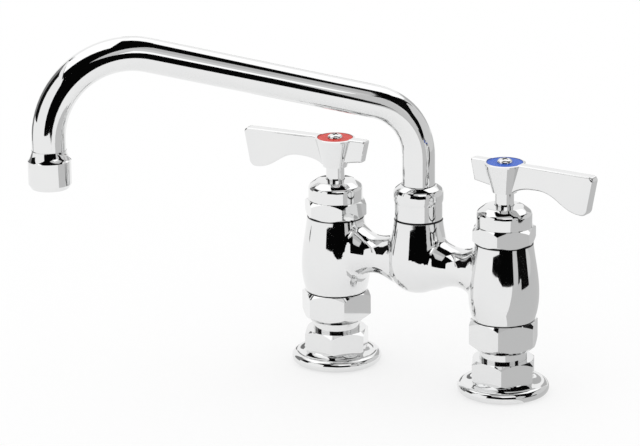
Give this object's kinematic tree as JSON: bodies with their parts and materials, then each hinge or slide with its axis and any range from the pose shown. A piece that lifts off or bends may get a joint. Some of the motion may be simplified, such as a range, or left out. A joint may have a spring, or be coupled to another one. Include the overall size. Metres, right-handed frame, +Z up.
{
  "type": "deck-mount faucet",
  "caption": "Chrome deck-mount bridge faucet with a swinging bent-tube spout and quarter-turn lever valves marked hot and cold.",
  "frame": {"origin": "on the deck surface, midway between the two inlet axes, on the spout's swivel axis", "axes": "+X from the hot inlet to the cold inlet, -Y the front towards the sink, +Z up along the swivel axis"},
  "size_m": [0.2508, 0.1754, 0.1956],
  "materials": {
    "polished_chrome": "mirror-polished chrome plate on brass",
    "plain_brass": "machined, unplated",
    "spring_steel": "sprung stainless strip",
    "black_rubber": "matt black sealing rubber",
    "fibre_washer": "red-brown sealing washer",
    "white_ceramic": "lapped alumina",
    "slip_plastic": "natural low-friction plastic",
    "grey_plastic": "moulded grey",
    "hot_index": "printed red, smooth",
    "cold_index": "printed blue, smooth"
  },
  "bodies": {
    "body": {"body_casting": "polished_chrome", "spout_swivel_nut": "polished_chrome", "hot_deck_flange": "polished_chrome", "hot_inlet_tailpiece": "polished_chrome", "hot_coupling_nut": "polished_chrome", "hot_coupling_washer": "fibre_washer", "hot_valve_bonnet": "polished_chrome", "hot_bonnet_seal": "black_rubber", "hot_bonnet_cap": "polished_chrome", "hot_seat_seal": "black_rubber", "hot_fixed_disc": "white_ceramic", "cold_deck_flange": "polished_chrome", "cold_inlet_tailpiece": "polished_chrome", "cold_coupling_nut": "polished_chrome", "cold_coupling_washer": "fibre_washer", "cold_valve_bonnet": "polished_chrome", "cold_bonnet_seal": "black_rubber", "cold_bonnet_cap": "polished_chrome", "cold_seat_seal": "black_rubber", "cold_fixed_disc": "white_ceramic"},
    "hot_handle": {"hot_moving_disc": "white_ceramic", "hot_valve_stem": "polished_chrome", "hot_stem_seals": "black_rubber", "hot_thrust_washer": "slip_plastic", "hot_stem_clip": "spring_steel", "hot_lever_handle": "polished_chrome", "hot_index_ring": "hot_index", "hot_handle_screw": "polished_chrome"},
    "cold_handle": {"cold_moving_disc": "white_ceramic", "cold_valve_stem": "polished_chrome", "cold_stem_seals": "black_rubber", "cold_thrust_washer": "slip_plastic", "cold_stem_clip": "spring_steel", "cold_lever_handle": "polished_chrome", "cold_index_ring": "cold_index", "cold_handle_screw": "polished_chrome"},
    "spout": {"spout_tube": "polished_chrome", "spout_ferrule": "plain_brass", "spout_seals": "black_rubber", "spout_glide": "slip_plastic", "outlet_collar": "polished_chrome", "stream_insert": "grey_plastic", "outlet_washer": "black_rubber"}
  },
  "joints": [
    {"name": "spout_swing", "type": "hinge", "parent": "body", "child": "spout", "pos_m": [0, 0, 0.1], "axis": [0, 0, 1], "continuous": true},
    {"name": "hot_valve_turn", "type": "hinge", "parent": "body", "child": "hot_handle", "pos_m": [-0.0508, 0, 0.1], "axis": [0, 0, 1], "range_deg": [0, 90]},
    {"name": "cold_valve_turn", "type": "hinge", "parent": "body", "child": "cold_handle", "pos_m": [0.0508, 0, 0.1], "axis": [0, 0, -1], "range_deg": [0, 90]}
  ]
}
